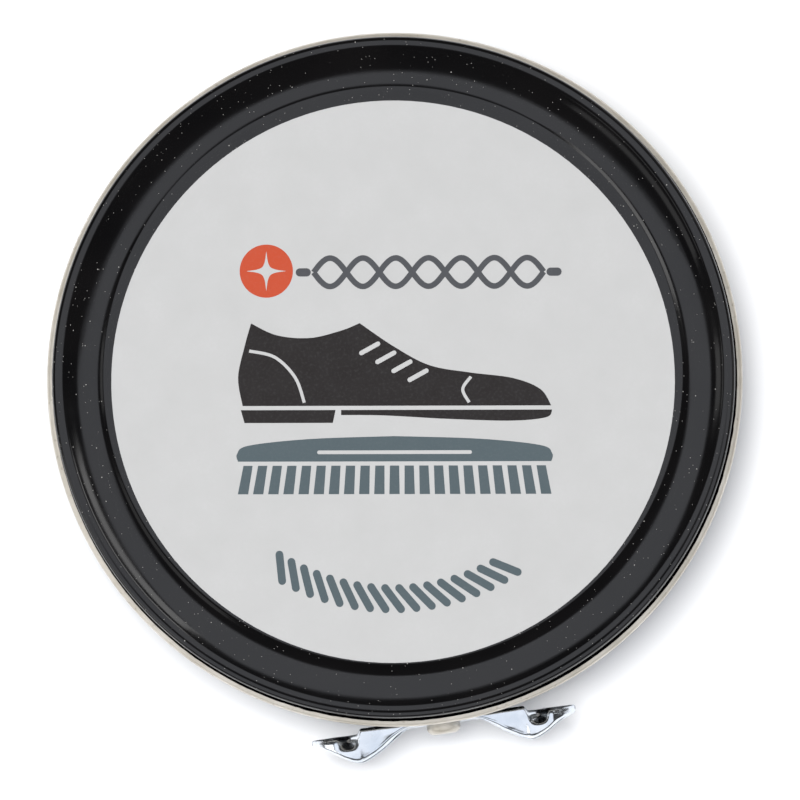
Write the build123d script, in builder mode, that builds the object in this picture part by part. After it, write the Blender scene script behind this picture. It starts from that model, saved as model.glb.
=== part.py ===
from build123d import *
import os

os.makedirs("parts", exist_ok=True)

# ---------------------------------------------------------------------------
# Shoe polish tin. Millimetres, +Z up, standing plane at Z = 0, round axis on Z.
# The opener key is riveted to the wall on the -Y side.
# ---------------------------------------------------------------------------

# Tinplate sheet that the lid and the base are drawn from
SHEET = 0.25
FIT = 0.08  # running clearance, radial, between the lid skirt and the base wall

# Lid: printed side up
CURL_OUTER_R = 38.0  # half of the 76 mm diameter over the curl
CURL_R = 0.55  # outside radius of the rolled edge
SKIRT_OUTER_R = CURL_OUTER_R - 2 * CURL_R + SHEET
SKIRT_INNER_R = SKIRT_OUTER_R - SHEET
CURL_Z = 13.3  # height of the rolled edge's centre
CURL_SLOT = 0.25  # gap between the skirt and the curl's raw edge
PANEL_TOP_Z = 18.0
PANEL_FLAT_R = 31.25
RIDGE_FOOT_R = 0.60
RIDGE_INNER_R = 2.08
RIDGE_OUTER_R = 4.60
RIDGE_RISE = 38
RIDGE_FALL = 38
HOLLOW_R = 1.60
SHOULDER_FALL = 12  # slope of the narrow shoulder outside the ridge
SHOULDER_EDGE_R = 0.60

# Paper labels
LABEL_R = 30.6
LABEL_T = 0.12
LABEL_SHIFT = 0.6  # the top label is stuck on a little off centre
LABEL_TURN = 7.9  # degrees, label's upright against the tin's Y axis
BASE_LABEL_R = 27.0

# Base pan
WALL_OUTER_R = SKIRT_INNER_R - FIT
WALL_INNER_R = WALL_OUTER_R - SHEET
WALL_TOP_Z = 16.5
CORNER_R = 1.4
FOOT_STEP_R = 0.5
FOOT_STEP_TURN = 60
BASE_PANEL_R = 28.4

# Wax
WAX_GAP = 0.05
WAX_EDGE_Z = 12.4
WAX_CENTRE_Z = 12.0
WAX_EDGE_ROUND = 0.5
WAX_POCKET = 0.3  # room that the wax leaves round the washer and the rivet's tail

# Opener: rivet boss on the wall, key, rivet and washer, all on one axis along Y
KEY_Z = 8.6
BOSS_R = 3.6
BOSS_FACE_Y = -37.15
BOSS_DEPTH = 0.6  # how far the boss runs back into the wall
THROUGH = 2.0  # cut that passes right through the wall
KEY_GAP = 0.10
KEY_SHEET = 0.6
KEY_BACK_Y = BOSS_FACE_Y - KEY_GAP
KEY_WEB_Y = KEY_BACK_Y - KEY_SHEET
LOBE_BACK_Y = -37.8
LOBE_WEB_Y = LOBE_BACK_Y - KEY_SHEET
CAM_HALF = 9.3  # half length of the middle plate that works under the curl
LOBE_X = 11.0
LOBE_R = 3.6
WAIST_R = 3.0
KEY_TIP_X = LOBE_X + LOBE_R
TIP_DEPTH = 0.9  # depth of the flange at the lobe's tip
FLANGE_PEAK = (9.5, -41.15)  # furthest point of the flange's free edge, before it is rounded
FLANGE_PEAK_R = 1.1
FLANGE_WAIST_X = 4.0
FLANGE_WAIST_Y = -38.0
CLEAR = 60  # longer than anything it cuts through
RIVET_R = 1.10
RIVET_FIT = 0.05
RIVET_HEAD_R = 1.85
RIVET_HEAD_RIM = 0.35
RIVET_HEAD_Y = KEY_WEB_Y - RIVET_FIT
RIVET_TOP_Y = -39.0
WASHER_R = 2.4
WASHER_T = 0.4
TAIL_R = 1.8
TAIL_T = 0.6
TAIL_ROUND = 0.36
BOSS_INNER_Y = BOSS_FACE_Y + SHEET

shoulder = Vector(1, 0).rotate(Axis.Z, SHOULDER_FALL)
RIVET_AXIS = Plane(origin=(0, 0, KEY_Z), x_dir=(1, 0, 0), z_dir=(0, -1, 0))


# Lid shell: flat panel, raised ridge, narrow shoulder, skirt and outward curl,
# one sheet followed along its outer face
with BuildPart() as lid_shell:
    with BuildSketch(Plane.XZ):
        with BuildLine():
            panel = Line((0, PANEL_TOP_Z), (PANEL_FLAT_R, PANEL_TOP_Z))
            ridge_foot = JernArc(panel @ 1, panel % 1, RIDGE_FOOT_R, RIDGE_RISE)
            crown = JernArc(ridge_foot @ 1, ridge_foot % 1, RIDGE_INNER_R, -RIDGE_RISE)
            slope = JernArc(crown @ 1, crown % 1, RIDGE_OUTER_R, -RIDGE_FALL)
            hollow = JernArc(slope @ 1, slope % 1, HOLLOW_R, RIDGE_FALL - SHOULDER_FALL)
            flat_run = SKIRT_OUTER_R - SHOULDER_EDGE_R * (1 - shoulder.Y) - (hollow @ 1).X
            shelf = Line(hollow @ 1, hollow @ 1 + Vector(flat_run, -flat_run * shoulder.Y / shoulder.X))
            edge_round = JernArc(shelf @ 1, shelf % 1, SHOULDER_EDGE_R, SHOULDER_FALL - 90)
            skirt = Line(edge_round @ 1, ((edge_round @ 1).X, CURL_Z))
            offset(amount=SHEET, side=Side.RIGHT)
        make_face()
        with Locations((SKIRT_INNER_R + CURL_R, CURL_Z)):
            Circle(CURL_R)
            Circle(CURL_R - SHEET, mode=Mode.SUBTRACT)
            # the raw edge of the sheet stops just short of the skirt
            with Locations((SHEET - CURL_R + CURL_SLOT / 2, CURL_R / 2)):
                Rectangle(CURL_SLOT, CURL_R, mode=Mode.SUBTRACT)
    revolve(axis=Axis.Z)
lid_shell.part.label = "lid_shell"
export_step(lid_shell.part, "parts/lid_shell.step")


# Round paper label on the lid's panel
with BuildPart() as lid_label:
    with BuildSketch(Plane.XY.offset(PANEL_TOP_Z)):
        with Locations(Vector(0, -LABEL_SHIFT).rotate(Axis.Z, -LABEL_TURN)):
            Circle(LABEL_R)
    extrude(amount=LABEL_T)
lid_label.part.label = "lid_label"
export_step(lid_label.part, "parts/lid_label.step")


# Base pan: recessed bottom panel, standing ring, rounded corner, straight wall,
# with the rivet boss pressed out of the wall
with BuildPart() as base_can:
    with BuildSketch(Plane.XZ):
        with BuildLine():
            step_drop = 2 * FOOT_STEP_R * (1 - (Vector(1, 0).rotate(Axis.Z, FOOT_STEP_TURN)).X)
            floor = Line((0, step_drop), (BASE_PANEL_R, step_drop))
            step_in = JernArc(floor @ 1, floor % 1, FOOT_STEP_R, -FOOT_STEP_TURN)
            step_out = JernArc(step_in @ 1, step_in % 1, FOOT_STEP_R, FOOT_STEP_TURN)
            foot = Line(step_out @ 1, (WALL_OUTER_R - CORNER_R, 0))
            corner = JernArc(foot @ 1, foot % 1, CORNER_R, 90)
            wall = Line(corner @ 1, (WALL_OUTER_R, WALL_TOP_Z))
            offset(amount=SHEET, side=Side.LEFT)
        make_face()
    revolve(axis=Axis.Z)
    with BuildSketch(RIVET_AXIS.offset(-BOSS_FACE_Y)):
        Circle(BOSS_R)
    extrude(amount=-BOSS_DEPTH)
    with BuildSketch(RIVET_AXIS.offset(-BOSS_INNER_Y)):
        Circle(BOSS_R - SHEET)
    extrude(amount=-THROUGH, mode=Mode.SUBTRACT)
    with BuildSketch(RIVET_AXIS.offset(-BOSS_FACE_Y)):
        Circle(RIVET_R + RIVET_FIT)
    extrude(amount=-THROUGH, mode=Mode.SUBTRACT)
base_can.part.label = "base_can"
export_step(base_can.part, "parts/base_can.step")


# Round paper label under the base, inside the standing ring
with BuildPart() as base_label:
    with BuildSketch(Plane.XY.offset(step_drop)):
        Circle(BASE_LABEL_R)
    extrude(amount=-LABEL_T)
base_label.part.label = "base_label"
export_step(base_label.part, "parts/base_label.step")


# Wax poured into the pan: follows the pan's floor, slightly dished on top,
# with the pocket it sets round the rivet's tail
with BuildPart() as polish:
    with BuildSketch(Plane.XZ):
        with BuildLine():
            low = step_drop + SHEET + WAX_GAP
            side = WALL_INNER_R - WAX_GAP
            inner_corner = CORNER_R - SHEET - WAX_GAP
            bottom = Line((0, low), (side - inner_corner, low))
            heel = RadiusArc(bottom @ 1, (side, low + inner_corner), -inner_corner)
            edge = Line(heel @ 1, (side, WAX_EDGE_Z - WAX_EDGE_ROUND))
            lip = RadiusArc(edge @ 1, (side - WAX_EDGE_ROUND, WAX_EDGE_Z), -WAX_EDGE_ROUND)
            dish = TangentArc((0, WAX_CENTRE_Z), lip @ 1, tangent=(1, 0))
            Line((0, WAX_CENTRE_Z), (0, low))
        make_face()
    revolve(axis=Axis.Z)
    with BuildSketch(RIVET_AXIS.offset(WALL_OUTER_R)):
        Circle(WASHER_R + WAX_POCKET)
    pocket_depth = WALL_OUTER_R + BOSS_INNER_Y + WASHER_T + TAIL_T + WAX_POCKET
    extrude(amount=-pocket_depth, mode=Mode.SUBTRACT)
polish.part.label = "polish"
export_step(polish.part, "parts/polish.step")


# Butterfly key: a pressed plate with two scooped finger lobes, turning on the rivet
with BuildPart() as opener_key:
    with BuildSketch(Plane.XY.offset(KEY_Z)):
        with BuildLine():
            outline = Polyline(
                (0, KEY_BACK_Y),
                (CAM_HALF, KEY_BACK_Y),
                (CAM_HALF, LOBE_BACK_Y),
                (KEY_TIP_X, LOBE_BACK_Y),
                (KEY_TIP_X, LOBE_BACK_Y - TIP_DEPTH),
                FLANGE_PEAK,
                (FLANGE_WAIST_X, FLANGE_WAIST_Y),
                (0, FLANGE_WAIST_Y),
                close=True,
            )
        make_face()
        fillet(vertices().sort_by(Axis.Y)[0], radius=FLANGE_PEAK_R)
        mirror(about=Plane.YZ)
    extrude(amount=LOBE_R, both=True)
    with BuildSketch(RIVET_AXIS) as front_outline:
        for side_sign in (-1, 1):
            with BuildSketch(mode=Mode.PRIVATE) as half_outline:
                Circle(WAIST_R)
                with Locations((side_sign * LOBE_X, 0)):
                    Circle(LOBE_R)
                make_hull()
            add(half_outline.sketch)
    extrude(amount=CLEAR, mode=Mode.INTERSECT)
    with BuildSketch(RIVET_AXIS.offset(-LOBE_WEB_Y)):
        add(front_outline.sketch_local)
        offset(amount=-KEY_SHEET, mode=Mode.REPLACE)
    extrude(amount=CLEAR, mode=Mode.SUBTRACT)
    with BuildSketch(RIVET_AXIS.offset(-KEY_WEB_Y)):
        add(front_outline.sketch_local)
        offset(amount=-KEY_SHEET, mode=Mode.REPLACE)
        Rectangle(2 * (CAM_HALF - KEY_SHEET), 4 * LOBE_R, mode=Mode.INTERSECT)
    extrude(amount=CLEAR, mode=Mode.SUBTRACT)
    with BuildSketch(RIVET_AXIS.offset(-KEY_BACK_Y)):
        Circle(RIVET_R + RIVET_FIT)
    extrude(amount=THROUGH, both=True, mode=Mode.SUBTRACT)
opener_key.part.label = "opener_key"
export_step(opener_key.part, "parts/opener_key.step")


# Rivet: domed head outside, shank through key, wall and washer, peened tail inside
with BuildPart() as opener_rivet:
    with BuildSketch(RIVET_AXIS.offset(-RIVET_HEAD_Y)):
        Circle(RIVET_HEAD_R)
    extrude(amount=RIVET_HEAD_Y - RIVET_TOP_Y)
    dome_rim = faces().sort_by(Axis.Y)[0].edges()
    fillet(dome_rim, radius=RIVET_HEAD_Y - RIVET_TOP_Y - RIVET_HEAD_RIM)
    with BuildSketch(RIVET_AXIS.offset(-RIVET_HEAD_Y)):
        Circle(RIVET_R)
    extrude(amount=-(BOSS_INNER_Y + WASHER_T - RIVET_HEAD_Y))
    with BuildSketch(RIVET_AXIS.offset(-(BOSS_INNER_Y + WASHER_T))):
        Circle(TAIL_R)
    extrude(amount=-TAIL_T)
    tail_rim = faces().sort_by(Axis.Y)[-1].edges()
    fillet(tail_rim, radius=TAIL_ROUND)
opener_rivet.part.label = "opener_rivet"
export_step(opener_rivet.part, "parts/opener_rivet.step")


# Washer between the wall and the rivet's tail
with BuildPart() as rivet_washer:
    with BuildSketch(RIVET_AXIS.offset(-BOSS_INNER_Y)):
        Circle(WASHER_R)
        Circle(RIVET_R + RIVET_FIT, mode=Mode.SUBTRACT)
    extrude(amount=-WASHER_T)
rivet_washer.part.label = "rivet_washer"
export_step(rivet_washer.part, "parts/rivet_washer.step")
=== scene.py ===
from math import atan2, cos, hypot, pi, radians, sin

import bmesh
import bpy
from mathutils import Matrix, Vector, noise


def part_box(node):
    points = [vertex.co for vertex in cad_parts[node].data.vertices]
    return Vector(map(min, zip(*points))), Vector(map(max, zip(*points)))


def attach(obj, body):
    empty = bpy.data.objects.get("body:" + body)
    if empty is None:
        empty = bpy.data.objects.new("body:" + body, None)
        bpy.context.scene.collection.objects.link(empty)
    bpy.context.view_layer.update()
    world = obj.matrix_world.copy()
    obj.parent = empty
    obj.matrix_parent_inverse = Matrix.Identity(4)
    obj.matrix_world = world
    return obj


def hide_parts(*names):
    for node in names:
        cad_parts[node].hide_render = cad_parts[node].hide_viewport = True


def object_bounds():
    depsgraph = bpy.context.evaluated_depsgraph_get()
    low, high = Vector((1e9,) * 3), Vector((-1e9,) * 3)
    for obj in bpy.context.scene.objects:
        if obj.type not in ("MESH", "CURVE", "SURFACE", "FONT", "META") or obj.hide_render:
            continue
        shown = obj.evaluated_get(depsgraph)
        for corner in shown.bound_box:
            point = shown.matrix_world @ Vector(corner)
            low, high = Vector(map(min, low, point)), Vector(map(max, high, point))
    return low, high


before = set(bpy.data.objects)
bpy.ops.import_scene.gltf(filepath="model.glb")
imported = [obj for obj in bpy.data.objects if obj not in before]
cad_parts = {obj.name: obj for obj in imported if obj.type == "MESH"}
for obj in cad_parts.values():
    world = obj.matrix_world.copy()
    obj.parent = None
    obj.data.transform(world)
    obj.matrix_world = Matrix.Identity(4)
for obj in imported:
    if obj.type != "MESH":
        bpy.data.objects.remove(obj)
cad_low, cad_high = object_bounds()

# ---------------------------------------------------------------------------
# Shoe polish tin. Drawing sizes are in millimetres and turned into metres
# where a mesh is made. The row frame has +Z up and the opener key on -Y.
# ---------------------------------------------------------------------------
MM = 0.001

SHEET = 0.25
CURL_R = 0.55
CURL_Z = 13.3
CURL_SWEEP = 274  # the raw edge stops at the top of the curl, short of the skirt
PANEL_TOP_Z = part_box("lid_label")[0][2] / MM
PANEL_FLAT_R = 31.25
PANEL_EDGE_BAND = 0.4  # a narrow last band keeps the panel's shading flat up to the ridge
RIDGE_FOOT_R, RIDGE_INNER_R, RIDGE_OUTER_R = 0.60, 2.08, 4.60
RIDGE_RISE, RIDGE_FALL = 38, 38
HOLLOW_R = 0.80  # the bend between the ridge and the rolled bead
BEAD_RISE, BEAD_R = 15, 0.50  # the fine rolled bead along the shoulder's edge
SKIRT_OUTER_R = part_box("lid_shell")[1][0] / MM - 2 * CURL_R + SHEET
CRIMP_DEPTH = 0.055
CRIMP_REACH = 9  # points of the section on each side of the raw edge that the crimp moves

WALL_OUTER_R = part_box("base_can")[1][0] / MM
WALL_TOP_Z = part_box("base_can")[1][2] / MM
CORNER_R = 1.4
BASE_PANEL_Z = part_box("base_label")[1][2] / MM
BASE_PANEL_R = 28.4
BASE_EDGE_BAND = 0.5
FOOT_STEP_R, FOOT_STEP_TURN = 0.5, 60

KEY_Z = 8.6
BOSS_FACE_Y = -37.15
BOSS_FLAT_R = 3.4
BOSS_FOOT_R = 4.4
FINE_WALL_MARGIN = 0.3  # the finely divided part of the wall ends this far above the boss

LABEL_TOP_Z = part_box("lid_label")[1][2] / MM
LABEL_SHIFT = 0.6
LABEL_TURN = -7.9
LABEL_FRAME = (
    Matrix.Rotation(radians(LABEL_TURN), 4, "Z")
    @ Matrix.Translation(Vector((0, -LABEL_SHIFT, 0)) * MM)
)

TURNS = 540  # faces round a turned piece


# ---------------------------------------------------------------------------
# Materials
# ---------------------------------------------------------------------------
class Finish:
    """A Principled material with short calls for the nodes that give it wear and grain."""

    def __init__(self, name, **sockets):
        self.material = bpy.data.materials.new(name)
        self.material.use_nodes = True
        self.nodes = self.material.node_tree.nodes
        self.links = self.material.node_tree.links
        self.shader = self.nodes["Principled BSDF"]
        for socket, value in sockets.items():
            self.shader.inputs[socket.replace("_", " ")].default_value = value
        self.place = self.nodes.new("ShaderNodeTexCoord").outputs["Object"]

    def put(self, kind, values, **settings):
        made = self.nodes.new(kind)
        for key, value in settings.items():
            setattr(made, key, value)
        for key, value in values.items():
            if isinstance(value, bpy.types.NodeSocket):
                self.links.new(value, made.inputs[key])
            else:
                made.inputs[key].default_value = value
        return made

    def grain(self, scale, detail=3.0, roughness=0.5):
        values = {"Vector": self.place, "Scale": scale, "Detail": detail, "Roughness": roughness}
        return self.put("ShaderNodeTexNoise", values).outputs[0]

    def spread(self, value, low, high, to_low, to_high):
        values = {0: value, 1: low, 2: high, 3: to_low, 4: to_high}
        return self.put("ShaderNodeMapRange", values).outputs[0]

    def cloud(self, scale, detail=3.0, roughness=0.5, low=0.0, high=1.0):
        """Soft patches between two values."""
        return self.spread(self.grain(scale, detail, roughness), 0.3, 0.7, low, high)

    def maths(self, operation, a, b):
        return self.put("ShaderNodeMath", {0: a, 1: b}, operation=operation).outputs[0]

    def blend(self, factor, first, second):
        values = {0: factor, 6: first, 7: second}
        return self.put("ShaderNodeMix", values, data_type="RGBA").outputs[2]

    def specks(self, scale, size, share):
        """Small round spots: 1 inside a spot and 0 outside. share is how many cells have one."""
        cells = self.put("ShaderNodeTexVoronoi", {"Vector": self.place, "Scale": scale})
        near = self.spread(cells.outputs["Distance"], size * 0.6, size, 1.0, 0.0)
        shade = self.put("ShaderNodeSeparateColor", {0: cells.outputs["Color"]}).outputs[0]
        chosen = self.maths("GREATER_THAN", shade, 1.0 - share)
        return self.maths("MULTIPLY", near, chosen)

    def feed(self, socket, value):
        self.links.new(value, self.shader.inputs[socket])

    def bump(self, height, distance):
        values = {"Strength": 1.0, "Distance": distance, "Height": height}
        if self.shader.inputs["Normal"].is_linked:
            values["Normal"] = self.shader.inputs["Normal"].links[0].from_socket
        self.feed("Normal", self.put("ShaderNodeBump", values).outputs[0])


def black_lacquer():
    finish = Finish("black_lacquer", Specular_IOR_Level=0.5, IOR=1.5)
    dust = finish.specks(800.0, 0.060, 0.55)
    fine_dust = finish.specks(2100.0, 0.100, 0.55)
    all_dust = finish.maths("MAXIMUM", dust, fine_dust)
    tone = finish.spread(finish.grain(90.0), 0.35, 0.7, 0.0, 1.0)
    ground = finish.blend(tone, (0.0022, 0.0021, 0.0024, 1), (0.0042, 0.0038, 0.0040, 1))
    finish.feed("Base Color", finish.blend(all_dust, ground, (0.32, 0.31, 0.29, 1)))
    smear = finish.spread(finish.grain(140.0, 4.0), 0.3, 0.75, 0.10, 0.21)
    finish.feed("Roughness", finish.maths("MAXIMUM", smear, all_dust))
    finish.bump(finish.grain(900.0, 2.0), 0.004 * MM)
    finish.bump(all_dust, 0.01 * MM)
    return finish.material


def inner_lacquer():
    """Pale gold lacquer over tinplate: the inside face of the sheet, which the rolled edge turns outward."""
    finish = Finish("inner_lacquer", Metallic=0.35, IOR=1.5, Coat_Weight=0.35, Coat_Roughness=0.2)
    patches = finish.spread(finish.grain(260.0, 4.0), 0.32, 0.70, 0.0, 1.0)
    tone = finish.blend(patches, (0.47, 0.43, 0.36, 1), (0.62, 0.58, 0.51, 1))
    stain = finish.spread(finish.grain(1600.0, 3.0), 0.62, 0.74, 0.0, 0.55)
    finish.feed("Base Color", finish.blend(stain, tone, (0.24, 0.20, 0.145, 1)))
    finish.feed("Roughness", finish.cloud(700.0, low=0.28, high=0.46))
    finish.bump(finish.grain(1400.0, 3.0), 0.006 * MM)
    return finish.material


def paper():
    finish = Finish("label_paper", Specular_IOR_Level=0.35, IOR=1.45)
    cloud = finish.cloud(230.0, 4.0, 0.6)
    fibre = finish.spread(finish.grain(2600.0, 2.0), 0.35, 0.65, 0.0, 1.0)
    mottle = finish.blend(cloud, (0.420, 0.418, 0.410, 1), (0.446, 0.444, 0.437, 1))
    fibre_share = finish.maths("MULTIPLY", fibre, 0.5)
    finish.feed("Base Color", finish.blend(fibre_share, mottle, (0.430, 0.426, 0.417, 1)))
    finish.feed("Roughness", finish.cloud(500.0, low=0.48, high=0.62))
    finish.bump(finish.grain(1500.0, 4.0, 0.6), 0.006 * MM)
    return finish.material


def ink(name, colour):
    """Printed ink: its colour breaks up a little where the paper's grain shows through."""
    finish = Finish("ink_" + name, Specular_IOR_Level=0.35, IOR=1.45)
    paler = tuple(0.96 * c + 0.012 for c in colour)
    speckle = finish.spread(finish.grain(3200.0, 3.0, 0.6), 0.50, 0.72, 0.0, 1.0)
    finish.feed("Base Color", finish.blend(speckle, (*colour, 1), (*paler, 1)))
    finish.feed("Roughness", finish.cloud(500.0, low=0.42, high=0.56))
    finish.bump(finish.grain(1500.0, 4.0, 0.6), 0.006 * MM)
    return finish.material


def zinc():
    finish = Finish("zinc_plate", Metallic=1.0)
    spangle = finish.put("ShaderNodeTexVoronoi", {"Vector": finish.place, "Scale": 900.0})
    patch = finish.spread(spangle.outputs["Color"], 0.0, 1.0, 0.0, 1.0)
    cloud = finish.cloud(330.0, 4.0)
    tone = finish.blend(cloud, (0.62, 0.67, 0.73, 1), (0.80, 0.83, 0.86, 1))
    patch_share = finish.maths("MULTIPLY", patch, 0.25)
    finish.feed("Base Color", finish.blend(patch_share, tone, (0.50, 0.55, 0.62, 1)))
    finish.feed("Roughness", finish.cloud(650.0, 4.0, low=0.12, high=0.30))
    finish.bump(finish.grain(420.0, 4.0, 0.6), 0.035 * MM)
    finish.bump(finish.grain(2600.0, 2.0), 0.004 * MM)
    return finish.material


def steel():
    finish = Finish("washer_steel", Metallic=1.0)
    tone = finish.cloud(800.0)
    finish.feed("Base Color", finish.blend(tone, (0.48, 0.47, 0.46, 1), (0.60, 0.59, 0.58, 1)))
    finish.feed("Roughness", finish.cloud(1800.0, low=0.28, high=0.48))
    finish.bump(finish.grain(2500.0), 0.01 * MM)
    return finish.material


def wax():
    finish = Finish("polish_wax", IOR=1.44, Specular_IOR_Level=0.5)
    tone = finish.cloud(120.0, 4.0)
    finish.feed("Base Color", finish.blend(tone, (0.0060, 0.0055, 0.0055, 1), (0.0130, 0.0120, 0.0115, 1)))
    finish.feed("Roughness", finish.cloud(260.0, 4.0, low=0.26, high=0.52))
    finish.bump(finish.grain(150.0, 3.0), 0.08 * MM)
    finish.bump(finish.grain(1800.0, 3.0), 0.012 * MM)
    return finish.material


BLACK = black_lacquer()
INSIDE = inner_lacquer()
PAPER = paper()
ZINC = zinc()
STEEL = steel()
WAX = wax()


# ---------------------------------------------------------------------------
# Lines and steps
# ---------------------------------------------------------------------------
def through(points, parts=8):
    """A smooth line through the points."""
    ends = [points[0], *points, points[-1]]
    line = []
    for a, b, c, d in zip(ends, ends[1:], ends[2:], ends[3:]):
        a, b, c, d = (Vector(p) for p in (a, b, c, d))
        square, cube = 2 * a - 5 * b + 4 * c - d, 3 * b - a - 3 * c + d
        for step in range(parts):
            t = step / parts
            line.append(0.5 * (2 * b + (c - a) * t + square * t**2 + cube * t**3))
    return [*(tuple(p) for p in line), tuple(points[-1])]


def follow(line, x):
    """The height of a line of points at x."""
    for (x0, y0), (x1, y1) in zip(line, line[1:]):
        if x <= x1:
            return y0 + (y1 - y0) * (x - x0) / (x1 - x0)
    return line[-1][1]


def soft_step(value, low, high):
    """0 up to low and 1 from high on, with a smooth rise between them."""
    share = min(1.0, max(0.0, (value - low) / (high - low)))
    return share * share * (3 - 2 * share)


# ---------------------------------------------------------------------------
# Turned sheet metal
# ---------------------------------------------------------------------------
class SheetPath:
    """One face of a sheet in section: straight runs and arcs, each going on from the last."""

    def __init__(self, r, z):
        self.r, self.z, self.heading = r, z, 0.0
        self.points = []
        self._mark()

    def _mark(self):
        self.points.append((self.r, self.z, -sin(self.heading), cos(self.heading)))

    def run(self, length, parts=1):
        for _ in range(parts):
            self.r += cos(self.heading) * length / parts
            self.z += sin(self.heading) * length / parts
            self._mark()

    def bend(self, radius, degrees, parts):
        turn = radians(degrees) / parts
        chord = 2 * radius * sin(abs(turn) / 2)
        for _ in range(parts):
            self.heading += turn / 2
            self.r += cos(self.heading) * chord
            self.z += sin(self.heading) * chord
            self.heading += turn / 2
            self._mark()

    def face(self, left=0.0):
        """The path itself, or the sheet's other face at a distance to its left."""
        return [(r + left * side_r, z + left * side_z) for r, z, side_r, side_z in self.points]


def finish_mesh(name, bm, materials, smooth_angle=38):
    bmesh.ops.remove_doubles(bm, verts=bm.verts, dist=1e-7)
    bmesh.ops.recalc_face_normals(bm, faces=bm.faces)
    mesh = bpy.data.meshes.new(name)
    bm.to_mesh(mesh)
    bm.free()
    for material in materials:
        mesh.materials.append(material)
    mesh.shade_smooth()
    mesh.set_sharp_from_angle(angle=radians(smooth_angle))
    made = bpy.data.objects.new(name, mesh)
    bpy.context.scene.collection.objects.link(made)
    return made


def lathe(name, section, materials, shade_from=(), warp=None, turns=TURNS):
    """Turns a section, listed from the axis out and back to the axis, about Z.

    shade_from lists the section's points from which the next material starts.
    warp(index, x, y, z) gives a point's place when it isn't the plain turned one.
    """
    bm = bmesh.new()
    rings = []
    for index, (r, z) in enumerate(section):
        ring = []
        for step in range(turns):
            angle = 2 * pi * step / turns
            place = (r * cos(angle), r * sin(angle), z)
            if warp:
                place = warp(index, *place)
            ring.append(bm.verts.new(Vector(place) * MM))
        rings.append(ring)
    for index in range(len(rings) - 1):
        shade = sum(index >= start for start in shade_from)
        low, high = rings[index], rings[index + 1]
        for step in range(turns):
            after = (step + 1) % turns
            made = bm.faces.new((low[step], low[after], high[after], high[step]))
            made.material_index = shade
    return finish_mesh(name, bm, materials)


def lid_shell():
    path = SheetPath(0, PANEL_TOP_Z)
    path.run(PANEL_FLAT_R - PANEL_EDGE_BAND, 3)
    path.run(PANEL_EDGE_BAND)
    path.bend(RIDGE_FOOT_R, RIDGE_RISE, 8)
    path.bend(RIDGE_INNER_R, -RIDGE_RISE, 14)
    path.bend(RIDGE_OUTER_R, -RIDGE_FALL, 18)
    path.bend(HOLLOW_R, RIDGE_FALL + BEAD_RISE, 12)
    rise = radians(BEAD_RISE)
    path.run((SKIRT_OUTER_R - BEAD_R * (1 + sin(rise)) - path.r) / cos(rise), 2)
    path.bend(BEAD_R, -BEAD_RISE - 90, 18)
    path.run(path.z - CURL_Z, 5)
    path.bend(CURL_R - SHEET, CURL_SWEEP, 30)
    outer = path.face()
    inner = path.face(-SHEET)[::-1]
    section = outer + inner
    edge = len(outer)

    def wrinkle(index, x, y, z):
        """The sheet's raw edge is crimped a little where it was rolled over."""
        steps = min(abs(index - edge), abs(index - edge + 1))
        if steps > CRIMP_REACH:
            return x, y, z
        angle = atan2(y, x)
        round_place = Vector((cos(angle), sin(angle), 0))
        crimp = noise.noise(round_place * 46) + 0.7 * noise.noise(round_place * 95)
        uneven = 0.55 + 0.75 * noise.noise(round_place * 1.3 + Vector((4.0, 1.0, 0)))
        pull = CRIMP_DEPTH * (1 - steps / CRIMP_REACH) * crimp * max(uneven, 0.15)
        r = hypot(x, y)
        return x * (1 + pull / r), y * (1 + pull / r), z + 0.7 * pull

    return lathe("lid_pressing", section, [BLACK, INSIDE], [edge - 1], wrinkle)


def base_can():
    path = SheetPath(0, BASE_PANEL_Z)
    path.run(BASE_PANEL_R - BASE_EDGE_BAND, 3)
    path.run(BASE_EDGE_BAND)
    path.bend(FOOT_STEP_R, -FOOT_STEP_TURN, 7)
    path.bend(FOOT_STEP_R, FOOT_STEP_TURN, 7)
    path.run(WALL_OUTER_R - CORNER_R - path.r, 3)
    path.bend(CORNER_R, 90, 12)
    path.run(KEY_Z + BOSS_FOOT_R + FINE_WALL_MARGIN - path.z, 30)
    path.run(WALL_TOP_Z - path.z, 5)
    outer = path.face()
    section = outer + path.face(SHEET)[::-1]
    near_wall = 0.9 * WALL_OUTER_R

    def press_boss(index, x, y, z):
        """A flat round boss is pressed out of the wall round the rivet."""
        away = hypot(x, z - KEY_Z)
        if y > 0 or away > BOSS_FOOT_R or hypot(x, y) < near_wall:
            return x, y, z
        share = soft_step(BOSS_FOOT_R - away, 0, BOSS_FOOT_R - BOSS_FLAT_R)
        face = BOSS_FACE_Y if index < len(outer) else BOSS_FACE_Y + SHEET
        return x, y + (face - y) * share, z

    return lathe("base_pan", section, [BLACK, INSIDE], [len(outer) - 1], press_boss)


def polish():
    low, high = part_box("polish")
    radius, foot, top = high[0] / MM, low[2] / MM, high[2] / MM
    corner_r, rim_bend_r, rim_turn = 1.1, 0.5, 75
    dish_depth, dish_rings = 0.4, 24
    swirl_depth, swirl_fade = 0.10, 3
    path = SheetPath(0, foot)
    path.run(radius - corner_r, 3)
    path.bend(corner_r, 90, 8)
    path.run(top - rim_bend_r - path.z, 4)
    path.bend(rim_bend_r, rim_turn, 6)
    swirl_from = len(path.points) - 3
    dish = []
    for ring in range(1, dish_rings + 1):
        share = 1 - ring / dish_rings
        dish.append((path.r * share, path.z - dish_depth * (1 - share**2)))

    def pour_marks(index, x, y, z):
        if index < swirl_from:
            return x, y, z
        swirl = noise.noise(Vector((x, y, 0)) * 0.11) + 0.4 * noise.noise(Vector((x, y, 3)) * 0.35)
        return x, y, z + swirl_depth * swirl * min(1.0, (radius - hypot(x, y)) / swirl_fade)

    return lathe("polish_fill", path.face() + dish, [WAX], (), pour_marks, turns=240)


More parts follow.
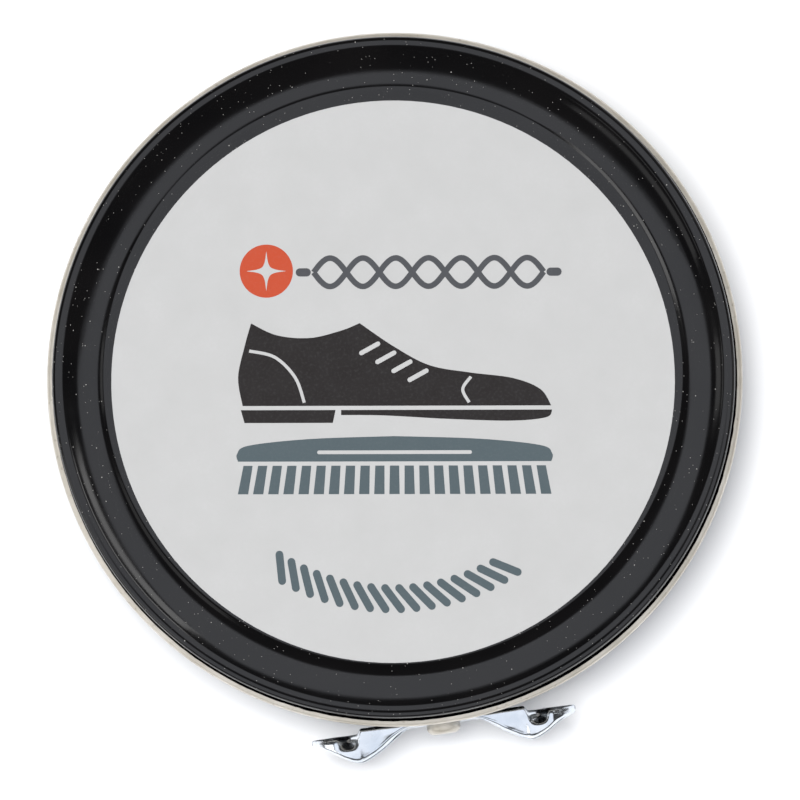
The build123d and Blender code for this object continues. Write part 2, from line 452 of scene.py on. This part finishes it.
# ---------------------------------------------------------------------------
# Opener key: one pressed sheet, C-shaped in section, with two scooped lobes
# ---------------------------------------------------------------------------
KEY_SHEET = 0.6
KEY_BACK_Y = -37.25
LOBE_BACK_Y = -37.8
KEY_FREE_EDGE = through(
    [(0, -37.88), (2.6, -37.88), (4.1, -37.95), (5.4, -38.75), (7.0, -39.85), (8.8, -40.75), (9.7, -40.9),
     (11.1, -40.35), (12.8, -39.3), (14.1, -38.75), (14.6, -38.6)]
)
LOBE_X, LOBE_R, WAIST_R = 11.0, 3.6, 3.0
KEY_TIP_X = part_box("opener_key")[1][0] / MM
JOGGLE_FROM, JOGGLE_TO = 9.05, 9.35  # where the back steps outward into each lobe
LEAST_DEPTH, LEAST_HEIGHT = 0.60, 0.45
WEB_BEND_R, LOBE_BEND_MORE = 0.50, 0.25
FLANGE_FALL, FLANGE_POWER = 0.27, 1.5
SCOOP_DEPTH, SCOOP_X, SCOOP_HALF_WIDTH = 1.45, 10.5, 1.45
SWELL_HEIGHT, CREASE_DEPTH = 0.30, 0.04
# The rolled free edge: shares of the lip inward from the edge, and down from the flange.
LIP_ROLL = ((0.0, 0.50), (0.05, 0.24), (0.17, 0.07))
LIP_END, CREASE_AT, FLAT_FROM = 0.36, 0.50, 0.64


def key_section(u):
    """Half of the key's section at u along it: from the free edge of the upper flange to mid web."""
    reach = abs(u)
    in_lobe = soft_step(reach, JOGGLE_FROM, JOGGLE_TO)
    back = KEY_BACK_Y + (LOBE_BACK_Y - KEY_BACK_Y) * in_lobe
    edge = min(follow(KEY_FREE_EDGE, reach), back - LEAST_DEPTH)
    if reach < LOBE_X:
        high = WAIST_R + (LOBE_R - WAIST_R) * reach / LOBE_X
    else:
        high = max(LEAST_HEIGHT, (LOBE_R**2 - (reach - LOBE_X) ** 2) ** 0.5 if reach < KEY_TIP_X else 0)
    depth = back - edge
    lip = min(1.0, depth / 1.8)
    corner = min(WEB_BEND_R + LOBE_BEND_MORE * in_lobe, 0.5 * high, 0.5 * depth)
    roof = min(1.0, high / 2.5)

    def flange(y):
        """The upper flange falls away towards its free edge, with a thumb scoop in each lobe."""
        out = (back - y) / depth
        scoop = SCOOP_DEPTH * soft_step(1.0 - abs(reach - SCOOP_X) / SCOOP_HALF_WIDTH, 0, 1)
        scoop *= soft_step(y, -39.7, -38.35)
        swell = SWELL_HEIGHT * soft_step(reach, 10.9, 12.8) * soft_step(y, -40.4, -38.3)
        dents = 0.13 * noise.noise(Vector((u * 0.55, y * 0.55, 2)))
        dents += 0.04 * noise.noise(Vector((u, y, 7)) * 1.7)
        return high - FLANGE_FALL * depth * out**FLANGE_POWER - (scoop + swell - dents) * roof

    crease = CREASE_DEPTH * soft_step(reach, 3.6, 4.6) * (1 - soft_step(reach, 8.3, 9.2))
    line = [(edge + inward * lip, flange(edge) - drop * lip) for inward, drop in LIP_ROLL]
    line.append((edge + LIP_END * lip, flange(edge + LIP_END * lip)))
    line.append((edge + CREASE_AT * lip, flange(edge + CREASE_AT * lip) - crease))
    flat_from, flat_to = edge + FLAT_FROM * lip, back - corner
    flat_parts, bend_parts, web_parts = 8, 5, 4
    for step in range(flat_parts + 1):
        y = flat_from + (flat_to - flat_from) * step / flat_parts
        line.append((y, flange(y)))
    last_z = line[-1][1]
    for step in range(1, bend_parts + 1):
        angle = pi / 2 * step / bend_parts
        line.append((back - corner + corner * sin(angle), last_z - corner + corner * cos(angle)))
    for step in range(1, web_parts + 1):
        line.append((back, (last_z - corner) * (1 - step / web_parts)))
    return line


def opener_key():
    stations = 132
    hole_r = 1.15
    bm = bmesh.new()
    rows = []
    for station in range(stations + 1):
        u = KEY_TIP_X * (2 * station / stations - 1)
        half = key_section(u)
        whole = half + [(y, -z) for y, z in reversed(half[:-1])]
        uneven = 0.05 * noise.noise(Vector((u * 0.7, 0, 5)))
        rows.append([bm.verts.new(Vector((u, y, KEY_Z + z + uneven * (z > 0))) * MM) for y, z in whole])
    for low, high in zip(rows, rows[1:]):
        for step in range(len(low) - 1):
            bm.faces.new((low[step], high[step], high[step + 1], low[step + 1]))
    through_rivet = [
        face for face in bm.faces
        if hypot(face.calc_center_median().x, face.calc_center_median().z - KEY_Z * MM) < hole_r * MM
    ]
    bmesh.ops.delete(bm, geom=through_rivet, context="FACES")
    for vert in bm.verts:
        away = Vector((vert.co.x, 0, vert.co.z - KEY_Z * MM))
        if vert.is_boundary and away.length < 1.8 * hole_r * MM and vert.co.y > KEY_BACK_Y * MM - 1e-6:
            rim = away.normalized() * hole_r * MM
            vert.co.x, vert.co.z = rim.x, rim.z + KEY_Z * MM
    key = finish_mesh("opener_key_pressing", bm, [ZINC], smooth_angle=70)
    top_normal = max(key.data.polygons, key=lambda face: face.center.z).normal.z
    if top_normal < 0:
        key.data.flip_normals()
    plate = key.modifiers.new("sheet", "SOLIDIFY")
    plate.thickness = KEY_SHEET * MM
    plate.offset = -1
    smooth = key.modifiers.new("smooth", "SUBSURF")
    smooth.levels = smooth.render_levels = 1
    return key


# ---------------------------------------------------------------------------
# Print on the label: flat ink shapes, in millimetres from the label's centre
# ---------------------------------------------------------------------------
def ellipse(x, y, rx, ry, parts=64):
    return [(x + rx * cos(2 * pi * i / parts), y + ry * sin(2 * pi * i / parts)) for i in range(parts)]


def bar(x0, y0, x1, y1, width, parts=8):
    """A straight stroke with round ends."""
    along = atan2(y1 - y0, x1 - x0)
    outline = []
    for x, y, start in ((x1, y1, along - pi / 2), (x0, y0, along + pi / 2)):
        for step in range(parts + 1):
            angle = start + pi * step / parts
            outline.append((x + width / 2 * cos(angle), y + width / 2 * sin(angle)))
    return outline


def ribbon(line, width):
    """The two sides of a stroke that follows a line."""
    sides = ([], [])
    for index, (x, y) in enumerate(line):
        ahead = line[min(index + 1, len(line) - 1)]
        behind = line[max(index - 1, 0)]
        along = atan2(ahead[1] - behind[1], ahead[0] - behind[0])
        for side, sign in zip(sides, (1, -1)):
            side.append((x - sign * sin(along) * width / 2, y + sign * cos(along) * width / 2))
    return sides[0] + sides[1][::-1]


INK_LIFT = 0.6  # share of the ink's half thickness that its middle stands clear of the paper


def print_ink(name, outlines, material, place=LABEL_FRAME, z=LABEL_TOP_Z, body="lid", up=1, thick=0.006):
    """Flat ink with a little height. An outline inside another is a gap in it."""
    curve = bpy.data.curves.new(name, "CURVE")
    curve.dimensions = "2D"
    curve.fill_mode = "BOTH"
    curve.extrude = thick * MM
    for outline in outlines:
        spline = curve.splines.new("POLY")
        spline.points.add(len(outline) - 1)
        spline.use_cyclic_u = True
        for point, (x, y) in zip(spline.points, outline):
            point.co = (x * MM, y * MM, 0, 1)
    shape = bpy.data.objects.new(name + "_outline", curve)
    mesh = bpy.data.meshes.new_from_object(shape)
    bpy.data.objects.remove(shape)
    mesh.transform(place)
    mesh.transform(Matrix.Translation((0, 0, (z + up * thick * INK_LIFT) * MM)))
    mesh.name = name
    mesh.materials.clear()
    mesh.materials.append(material)
    piece = bpy.data.objects.new(name, mesh)
    bpy.context.scene.collection.objects.link(piece)
    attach(piece, body)


def badge():
    x, y, radius = -13.75, 12.0, 2.9
    tip_r, waist_r = 2.15, 0.62
    sparkle = []
    for step in range(4):
        angle = pi / 2 * step + pi / 2
        tip = Vector((cos(angle), sin(angle))) * tip_r
        waist = Vector((cos(angle + pi / 4), sin(angle + pi / 4))) * waist_r
        next_tip = Vector((-sin(angle), cos(angle))) * tip_r
        sparkle += through([tuple(tip), tuple(waist), tuple(next_tip)])[:-1]
    sparkle = [(x + px, y + py) for px, py in sparkle]
    return [ellipse(x, y, radius, radius), sparkle]


def lace_row():
    """Two laces that cross over and over, with a tip at each end."""
    start, end, middle, swing, crossings = -8.6, 16.4, 11.85, 1.55, 7
    lace_width, tip_width, parts = 0.62, 0.9, 140
    strokes = []
    for sign in (1, -1):
        line = []
        for step in range(parts + 1):
            x = start + (end - start) * step / parts
            line.append((x, middle + sign * swing * sin(pi * crossings * (x - start) / (end - start))))
        strokes.append(ribbon(line, lace_width))
    tip_near, tip_far = 0.75, 1.5  # clear of the strand's slanted end
    strokes.append(bar(start - tip_far, middle, start - tip_near, middle, tip_width))
    strokes.append(bar(end + tip_near, middle, end + tip_far, middle, tip_width))
    return strokes


def dress_shoe():
    seam_width, lace_width, sole_top = 0.34, 0.5, -3.15
    ahead, fall = 1.75, 0.98  # from one lace to the next
    back = through([(-16.3, -2.7), (-16.8, 0.4), (-16.1, 3.8), (-15.4, 6.3)])
    collar = through([(-15.4, 6.3), (-12.6, 5.0), (-9.0, 4.7), (-5.6, 5.5), (-3.6, 6.3)])
    front = through(
        [(-3.6, 6.3), (0.2, 3.7), (4.0, 1.7), (8.4, 0.9), (13.0, 0.3), (16.0, -0.9), (17.2, -2.7)]
    )
    upper = back[:-1] + collar[:-1] + front
    toe_cap = ribbon(through([(8.3, -2.35), (7.6, -0.9), (8.5, 0.45)]), seam_width)
    counter = ribbon(through([(-9.6, -2.35), (-10.6, 0.4), (-12.8, 2.6), (-15.6, 3.3)]), seam_width)
    laces = [
        bar(-3.4 + ahead * i, 3.05 - fall * i, -1.6 + ahead * i, 4.05 - fall * i, lace_width)
        for i in range(4)
    ]
    sole = [(-5.6, sole_top), (17.3, sole_top)]
    sole += through([(17.3, sole_top), (16.6, -4.0), (12.5, -4.35), (5.0, -4.1)])
    sole += through([(5.0, -4.1), (-1.0, -3.75), (-5.6, -3.7)])
    heel = [(-16.5, sole_top), (-6.2, sole_top), (-6.5, -4.55), (-16.1, -4.55)]
    return [upper, toe_cap, counter, *laces, sole, heel]


def shoe_brush():
    top, waist, foot, tufts = -6.0, -8.75, -12.3, 21
    centre, half_span, most_lean = 0.2, 15.9, 0.55
    root_half, foot_half, gap = 0.5, 0.56, 0.45
    handle = through([(-16.8, waist), (-16.9, -7.9), (-15.6, -7.0), (-9.0, -6.3), (0.2, top)])
    handle += through([(0.2, top), (9.4, -6.3), (16.0, -7.0), (17.3, -7.9), (17.2, waist)])[1:]
    groove = bar(-8.0, -7.75, 8.4, -7.75, 0.4)
    outlines = [handle, groove]
    for tuft in range(tufts):
        share = tuft / (tufts - 1) * 2 - 1
        x = centre + share * half_span
        lean = most_lean * share
        root = [(x - root_half, waist - gap), (x + root_half, waist - gap)]
        outlines.append([*root, (x + foot_half + lean, foot), (x - foot_half + lean, foot)])
    return outlines


def stitch_arc():
    count, first, spread, width = 17, -121, 62, 0.85
    inner_r, outer_r, lean = 22.5, 24.8, radians(2.1)
    outlines = []
    for stitch in range(count):
        angle = radians(first + spread * stitch / (count - 1))
        outlines.append(
            bar(inner_r * cos(angle - lean), inner_r * sin(angle - lean),
                outer_r * cos(angle + lean), outer_r * sin(angle + lean), width)
        )
    return outlines


def label_print():
    orange = ink("orange", (0.42, 0.060, 0.024))
    grey = ink("grey", (0.060, 0.062, 0.067))
    charcoal = ink("charcoal", (0.0150, 0.0125, 0.0120))
    slate = ink("slate", (0.068, 0.090, 0.099))
    print_ink("print_badge", badge(), orange)
    strokes = lace_row()
    print_ink("print_lace_row_a", strokes[::2], grey)
    print_ink("print_lace_row_b", strokes[1::2], grey, thick=0.009)
    print_ink("print_shoe", dress_shoe(), charcoal)
    print_ink("print_brush", shoe_brush(), slate)
    print_ink("print_stitches", stitch_arc(), slate)


def base_print():
    """A plain ring and a few rules under the base."""
    slate = ink("base_slate", (0.068, 0.090, 0.099))
    ring = [ellipse(0, 0, 25.2, 25.2, 180), ellipse(0, 0, 24.6, 24.6, 180)]
    first_row, row_gap, width = 8.0, 3.2, 0.7
    rules = []
    for row, half in enumerate((15, 17, 17, 17, 15, 9)):
        y = first_row - row_gap * row
        rules.append(bar(-half, y, half, y, width))
    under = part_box("base_label")[0][2] / MM
    print_ink("print_base", ring + rules, slate, Matrix(), under, "base", -1)


# ---------------------------------------------------------------------------
# The tin
# ---------------------------------------------------------------------------
def repaint(node, material):
    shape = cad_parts[node]
    shape.data.materials.clear()
    shape.data.materials.append(material)


def stands_for(piece, node, body):
    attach(piece, body)
    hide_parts(node)


stands_for(lid_shell(), "lid_shell", "lid")
stands_for(base_can(), "base_can", "base")
stands_for(polish(), "polish", "base")
stands_for(opener_key(), "opener_key", "key")
repaint("lid_label", PAPER)
repaint("base_label", PAPER)
repaint("opener_rivet", INSIDE)
repaint("rivet_washer", STEEL)
label_print()
base_print()


# ---------------------------------------------------------------------------
# Floor, light and camera
# ---------------------------------------------------------------------------
FLOOR_HALF, FLOOR_GAP = 6.0, 0.00005  # metres
LIGHT_AIM = Vector((0, 0, 0.012))


def floor():
    bm = bmesh.new()
    bmesh.ops.create_grid(bm, x_segments=1, y_segments=1, size=FLOOR_HALF)
    sheet = finish_mesh("floor", bm, [])
    finish = Finish("floor_white", Specular_IOR_Level=0.1)
    tone = finish.cloud(6.0)
    finish.feed("Base Color", finish.blend(tone, (0.90, 0.90, 0.90, 1), (0.92, 0.92, 0.92, 1)))
    finish.feed("Roughness", finish.cloud(40.0, low=0.85, high=0.95))
    sheet.data.materials.append(finish.material)
    sheet.location.z = min(cad_low[2], 0.0) - FLOOR_GAP


def area_light(name, place, size, radiance, shines=True, colour=(1, 1, 1)):
    """A square or oblong soft light that faces the tin. shines is whether it shows in reflections."""
    data = bpy.data.lights.new(name, "AREA")
    data.shape = "RECTANGLE"
    data.size, data.size_y = size
    data.energy = radiance * pi * size[0] * size[1]
    data.color = colour
    lamp = bpy.data.objects.new(name, data)
    bpy.context.scene.collection.objects.link(lamp)
    lamp.location = place
    lamp.rotation_mode = "QUATERNION"
    lamp.rotation_quaternion = (LIGHT_AIM - Vector(place)).to_track_quat("-Z", "Y")
    lamp.visible_glossy = shines
    lamp.visible_camera = False


def toward(clock, tilt, distance):
    """A place round the tin.

    clock is in degrees clockwise from the label's right, seen from above.
    tilt is in degrees from straight up.
    """
    turn = radians(LABEL_TURN) - radians(clock)
    out = sin(radians(tilt))
    return (distance * out * cos(turn), distance * out * sin(turn), distance * cos(radians(tilt)))


def lights():
    cool = (0.90, 0.93, 1.0)
    area_light("overhead", (-0.12, 0.15, 1.60), (0.7, 0.7), 17.0, shines=False)
    area_light("softbox", toward(80, 20, 0.95), (1.7, 1.25), 0.80, colour=cool)
    area_light("softbox_edge", toward(80, 20, 1.02), (2.0, 1.60), 0.38, colour=cool)
    area_light("left_card", toward(152, 62, 0.9), (0.55, 0.26), 2.6)
    area_light("right_window", toward(-43, 64, 0.9), (0.50, 0.22), 0.6)
    area_light("right_pane", toward(-4, 64, 0.9), (0.20, 0.22), 0.9)
    world = bpy.data.worlds.new("studio")
    world.use_nodes = True
    bpy.context.scene.world = world
    nodes, links = world.node_tree.nodes, world.node_tree.links
    ground = nodes["Background"]
    ground.inputs["Color"].default_value = (1, 1, 1, 1)
    path = nodes.new("ShaderNodeLightPath")
    level = nodes.new("ShaderNodeMapRange")
    level.inputs["To Min"].default_value = 0.05
    level.inputs["To Max"].default_value = 0.95
    links.new(path.outputs["Is Camera Ray"], level.inputs["Value"])
    links.new(level.outputs[0], ground.inputs["Strength"])


def camera():
    """Almost straight down, a little from the key's side, with the label upright in the picture."""
    azimuth, elevation, distance = radians(18), radians(85.5), 0.78
    target = Vector((0.0003, -0.0024, 0.0133))
    back = Vector((sin(azimuth) * cos(elevation), -cos(azimuth) * cos(elevation), sin(elevation)))
    label_up = Vector((-sin(radians(LABEL_TURN)), cos(radians(LABEL_TURN)), 0))
    up = (label_up - label_up.dot(back) * back).normalized()
    right = up.cross(back)
    data = bpy.data.cameras.new("camera")
    data.lens = 321.5
    data.sensor_width = 36
    data.clip_start, data.clip_end = 0.01, 30
    made = bpy.data.objects.new("camera", data)
    bpy.context.scene.collection.objects.link(made)
    turn = Matrix((right, up, back)).transposed().to_4x4()
    made.matrix_world = Matrix.Translation(target + back * distance) @ turn
    bpy.context.scene.camera = made


floor()
lights()
camera()
bpy.context.scene.view_settings.view_transform = "Standard"
